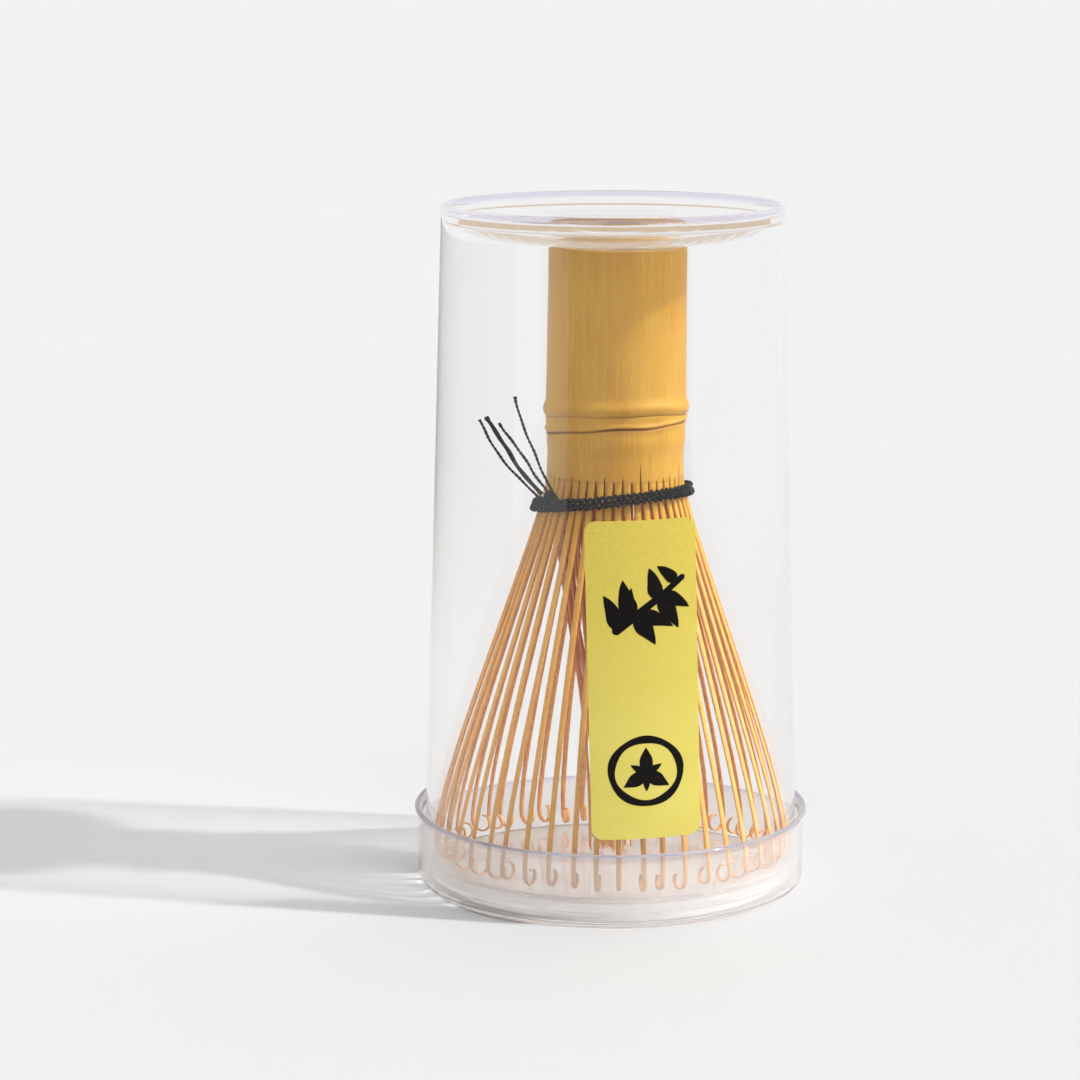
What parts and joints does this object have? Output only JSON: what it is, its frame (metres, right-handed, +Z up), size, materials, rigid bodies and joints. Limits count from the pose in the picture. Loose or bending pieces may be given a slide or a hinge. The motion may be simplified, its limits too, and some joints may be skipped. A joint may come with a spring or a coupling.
{
  "type": "bamboo tea whisk",
  "caption": "Bamboo tea whisk with a ring of hooked outer tines, a gathered inner bundle and a thread binding, standing in a clear lidded case.",
  "frame": {"origin": "centre of the lid's foot, on the table", "axes": "+Z up along the case's axis; -Y is the front, where the label is; +X is to the right as seen from the front"},
  "size_m": [0.0734, 0.0734, 0.126],
  "materials": {
    "tube_plastic": "clear, polished",
    "lid_plastic": "clear, faint violet",
    "label_paper": "matt yellow paper with printed ink",
    "bamboo_handle": "polished bamboo skin",
    "bamboo_outer_tines": "split bamboo",
    "bamboo_inner_tines": "split bamboo, inside of the wall",
    "thread": "black cotton thread"
  },
  "bodies": {
    "lid": {"case_lid": "lid_plastic"},
    "case": {"case_tube": "tube_plastic", "label": "label_paper"},
    "whisk": {"handle": "bamboo_handle", "outer_tines_01": "bamboo_outer_tines", "outer_tines_02": "bamboo_outer_tines", "outer_tines_03": "bamboo_outer_tines", "outer_tines_04": "bamboo_outer_tines", "outer_tines_05": "bamboo_outer_tines", "outer_tines_06": "bamboo_outer_tines", "outer_tines_07": "bamboo_outer_tines", "outer_tines_08": "bamboo_outer_tines", "outer_tines_09": "bamboo_outer_tines", "outer_tines_10": "bamboo_outer_tines", "outer_tines_11": "bamboo_outer_tines", "outer_tines_12": "bamboo_outer_tines", "outer_tines_13": "bamboo_outer_tines", "outer_tines_14": "bamboo_outer_tines", "outer_tines_15": "bamboo_outer_tines", "outer_tines_16": "bamboo_outer_tines", "inner_tines_01": "bamboo_inner_tines", "inner_tines_02": "bamboo_inner_tines", "inner_tines_03": "bamboo_inner_tines", "inner_tines_04": "bamboo_inner_tines", "inner_tines_05": "bamboo_inner_tines", "inner_tines_06": "bamboo_inner_tines", "inner_tines_07": "bamboo_inner_tines", "inner_tines_08": "bamboo_inner_tines", "inner_tines_09": "bamboo_inner_tines", "inner_tines_10": "bamboo_inner_tines", "inner_tines_11": "bamboo_inner_tines", "inner_tines_12": "bamboo_inner_tines", "inner_tines_13": "bamboo_inner_tines", "inner_tines_14": "bamboo_inner_tines", "inner_tines_15": "bamboo_inner_tines", "inner_tines_16": "bamboo_inner_tines", "thread_round_1": "thread", "thread_round_2": "thread", "thread_round_3": "thread", "thread_knot": "thread", "thread_tail_1": "thread", "thread_tail_2": "thread", "thread_tail_3": "thread", "thread_tail_4": "thread"}
  },
  "joints": [
    {"name": "case_lift", "type": "slide", "parent": "lid", "child": "case", "axis": [0, 0, 1], "range_m": [0, 0.24]},
    {"name": "whisk_lift", "type": "slide", "parent": "lid", "child": "whisk", "axis": [0, 0, 1], "range_m": [0, 0.096]}
  ],
  "couplings": [
    {"joint": "whisk_lift", "follows": "case_lift", "ratio": 0.4}
  ]
}
